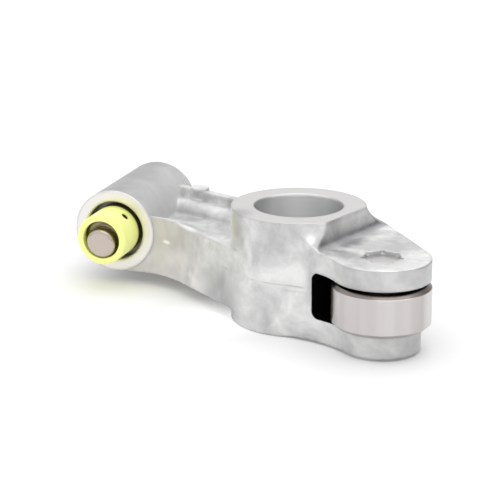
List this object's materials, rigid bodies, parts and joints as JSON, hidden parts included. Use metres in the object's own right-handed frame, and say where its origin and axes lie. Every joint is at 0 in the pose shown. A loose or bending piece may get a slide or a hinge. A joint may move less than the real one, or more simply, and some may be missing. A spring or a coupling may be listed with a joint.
{
  "type": "roller rocker arm",
  "caption": "Cast rocker arm that turns on a shaft, with a cam roller in a fork at one end and a hydraulic lash adjuster with a swivel foot at the other.",
  "frame": {"origin": "axis of the shaft bore at the boss's lower machined face", "axes": "+Z along the shaft bore, up as the part lies; -Y the way the swivel foot points; +X from the adjuster towards the roller"},
  "size_m": [0.0915, 0.0666, 0.0257],
  "materials": {
    "cast_aluminium": "as cast, machined rims",
    "ground_steel": "ground satin",
    "pin_steel": "hardened",
    "bearing_steel": "polished",
    "adjuster_steel": "hardened",
    "spring_steel": "oiled",
    "foot_steel": "satin",
    "yellow_plastic": "moulded"
  },
  "bodies": {
    "arm": {"rocker_body": "cast_aluminium", "roller_pin": "pin_steel", "adjuster_plunger": "adjuster_steel", "support_disc": "adjuster_steel", "check_cage": "adjuster_steel", "plunger_spring": "spring_steel", "check_spring": "spring_steel"},
    "roller": {"roller": "ground_steel"},
    "needles": {"needle_rollers": "bearing_steel"},
    "adjuster": {"adjuster_housing": "adjuster_steel", "retaining_ring": "spring_steel", "foot_retainer": "yellow_plastic"},
    "foot": {"swivel_foot": "foot_steel"},
    "check_ball": {"check_ball": "bearing_steel"}
  },
  "joints": [
    {"name": "roller_spin", "type": "hinge", "parent": "arm", "child": "roller", "pos_m": [0.02288, -0.01526, 0], "axis": [0, 0, 1], "continuous": true},
    {"name": "needle_orbit", "type": "hinge", "parent": "arm", "child": "needles", "pos_m": [0.02288, -0.01526, 0], "axis": [0, 0, 1], "continuous": true},
    {"name": "adjuster_slide", "type": "slide", "parent": "arm", "child": "adjuster", "axis": [0, 1, 0], "range_m": [0, 0.0025], "stiffness_N_per_m": 2000, "springref_m": -0.004, "deforming": ["plunger_spring"]},
    {"name": "foot_swivel", "type": "hinge", "parent": "adjuster", "child": "foot", "pos_m": [-0.0482, 0.006, 0.01285], "axis": [0, 0, 1], "range_deg": [-4, 4]},
    {"name": "check_lift", "type": "slide", "parent": "arm", "child": "check_ball", "axis": [0, -1, 0], "range_m": [0, 0.00025], "stiffness_N_per_m": 60, "springref_m": -0.0005, "deforming": ["check_spring"]}
  ],
  "couplings": [
    {"joint": "needle_orbit", "follows": "roller_spin", "ratio": 0.6205}
  ]
}
